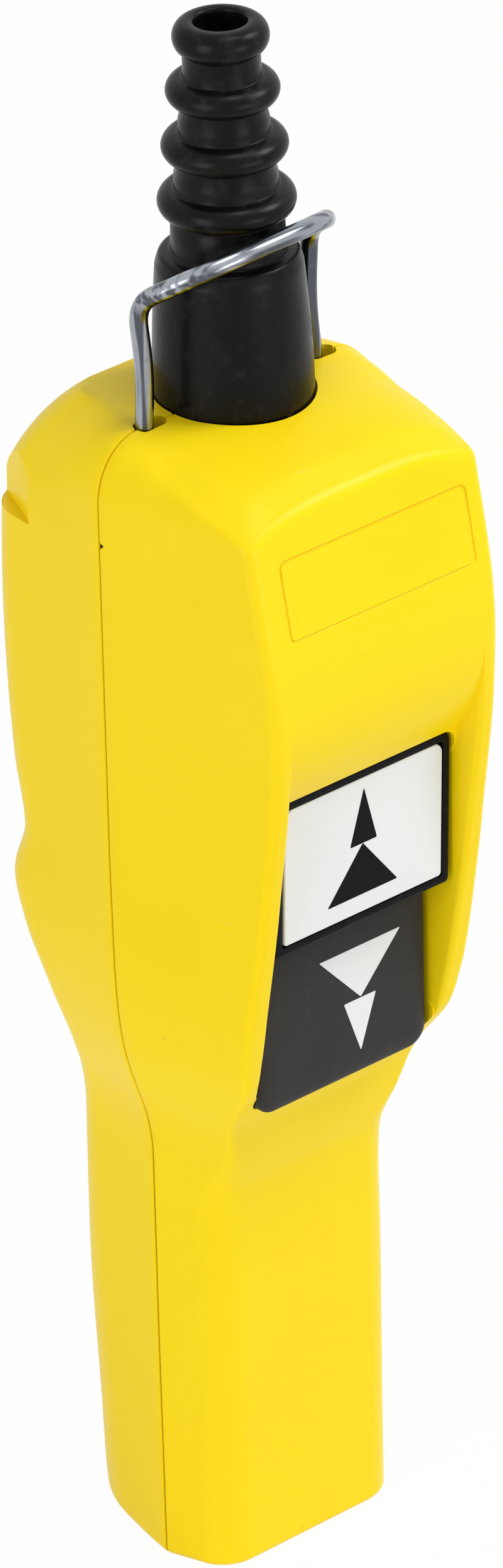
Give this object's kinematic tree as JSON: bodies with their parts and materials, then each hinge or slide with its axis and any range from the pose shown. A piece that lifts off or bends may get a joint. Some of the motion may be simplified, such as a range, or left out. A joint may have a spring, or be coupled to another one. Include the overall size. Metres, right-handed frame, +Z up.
{
  "type": "pendant control station",
  "caption": "Hand-held hoist pendant: yellow two-shell pistol grip with thumb buttons between guards, stepped rubber cable sleeve and wire hanger bail.",
  "frame": {"origin": "middle of the flat base of the grip, in the plane where the two shells meet", "axes": "+Z up along the grip towards the cable sleeve; the buttons face -Y; X runs across the buttons"},
  "size_m": [0.0694, 0.078, 0.3167],
  "materials": {
    "housing": "fine satin moulding",
    "sleeve_rubber": "satin",
    "seal_rubber": "matt",
    "zinc_steel": "bright zinc",
    "black_plastic": "satin",
    "white_plastic": "satin",
    "charcoal_plastic": "matt",
    "grey_plastic": "matt",
    "brass": "as turned"
  },
  "bodies": {
    "housing": {"front_shell": "housing", "rear_shell": "housing", "cable_sleeve": "sleeve_rubber", "housing_seal": "seal_rubber", "hanger_bail": "zinc_steel", "upper_spring": "zinc_steel", "lower_spring": "zinc_steel", "upper_boot": "seal_rubber", "lower_boot": "seal_rubber", "contact_carrier": "black_plastic", "upper_contact_block": "grey_plastic", "lower_contact_block": "grey_plastic", "upper_terminal_left": "brass", "upper_terminal_right": "brass", "lower_terminal_left": "brass", "lower_terminal_right": "brass", "upper_terminal_screw_left": "brass", "upper_terminal_screw_right": "brass", "lower_terminal_screw_left": "brass", "lower_terminal_screw_right": "brass", "carrier_screw_1": "zinc_steel", "carrier_screw_2": "zinc_steel", "carrier_screw_3": "zinc_steel", "carrier_screw_4": "zinc_steel", "cable_clamp": "black_plastic", "clamp_screw_1": "zinc_steel", "clamp_screw_2": "zinc_steel", "housing_screw_1": "zinc_steel", "housing_screw_2": "zinc_steel", "housing_screw_3": "zinc_steel", "housing_screw_4": "zinc_steel", "housing_screw_5": "zinc_steel"},
    "upper_button": {"upper_button": "black_plastic", "upper_button_face": "white_plastic", "upper_plunger": "white_plastic"},
    "lower_button": {"lower_button": "charcoal_plastic", "lower_plunger": "white_plastic"}
  },
  "joints": [
    {"name": "upper_press", "type": "slide", "parent": "housing", "child": "upper_button", "axis": [0, 1, 0], "range_m": [0, 0.004], "stiffness_N_per_m": 700, "springref_m": -0.002, "deforming": ["upper_spring", "upper_boot"]},
    {"name": "lower_press", "type": "slide", "parent": "housing", "child": "lower_button", "axis": [0, 1, 0], "range_m": [0, 0.004], "stiffness_N_per_m": 700, "springref_m": -0.002, "deforming": ["lower_spring", "lower_boot"]}
  ]
}
